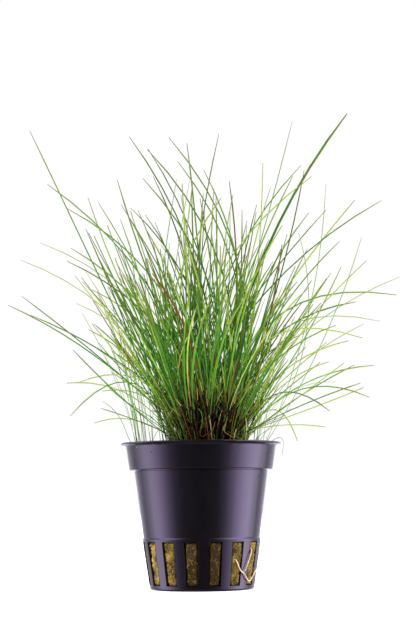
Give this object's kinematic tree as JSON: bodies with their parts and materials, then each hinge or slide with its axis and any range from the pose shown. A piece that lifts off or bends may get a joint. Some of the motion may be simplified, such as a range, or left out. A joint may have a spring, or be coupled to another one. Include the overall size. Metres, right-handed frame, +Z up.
{
  "type": "dwarf hairgrass in a net pot",
  "caption": "Tufted aquarium grass with fine arching culms, rooted in a mineral wool plug in a small tapered round plastic net pot with slots low in its wall.",
  "frame": {"origin": "centre of the pot's flat underside, on the surface it stands on", "axes": "+Z up along the pot's axis; -Y is the pictured front; +X is the right of the picture"},
  "size_m": [0.1365, 0.1132, 0.1635],
  "materials": {
    "pot_plastic": "satin",
    "mineral_wool": "matte",
    "root": "matte",
    "dead_leaf": "matte",
    "grass": "satin"
  },
  "bodies": {
    "root": {"net_pot": "pot_plastic", "wool_plug": "mineral_wool", "root_main": "root", "root_side": "root", "dead_leaf": "dead_leaf", "tuft_01": "grass", "tuft_02": "grass", "tuft_03": "grass", "tuft_04": "grass", "tuft_05": "grass", "tuft_06": "grass", "tuft_07": "grass", "tuft_08": "grass", "tuft_09": "grass", "tuft_10": "grass", "tuft_11": "grass", "tuft_12": "grass", "tuft_13": "grass", "tuft_14": "grass", "tuft_15": "grass", "tuft_16": "grass", "tuft_17": "grass", "tuft_18": "grass", "tuft_19": "grass", "tuft_20": "grass", "tuft_21": "grass", "tuft_22": "grass", "tuft_23": "grass", "tuft_24": "grass", "tuft_25": "grass", "tuft_26": "grass", "tuft_27": "grass", "tuft_28": "grass", "tuft_29": "grass", "tuft_30": "grass", "tuft_31": "grass", "tuft_32": "grass", "tuft_33": "grass", "tuft_34": "grass", "tuft_35": "grass", "tuft_36": "grass", "tuft_37": "grass", "rim_tuft_01": "grass", "rim_tuft_02": "grass", "rim_tuft_03": "grass", "rim_tuft_04": "grass", "rim_tuft_05": "grass", "rim_tuft_06": "grass", "rim_tuft_07": "grass", "rim_tuft_08": "grass", "rim_tuft_09": "grass", "rim_tuft_10": "grass", "rim_tuft_11": "grass", "rim_tuft_12": "grass"}
  },
  "joints": []
}
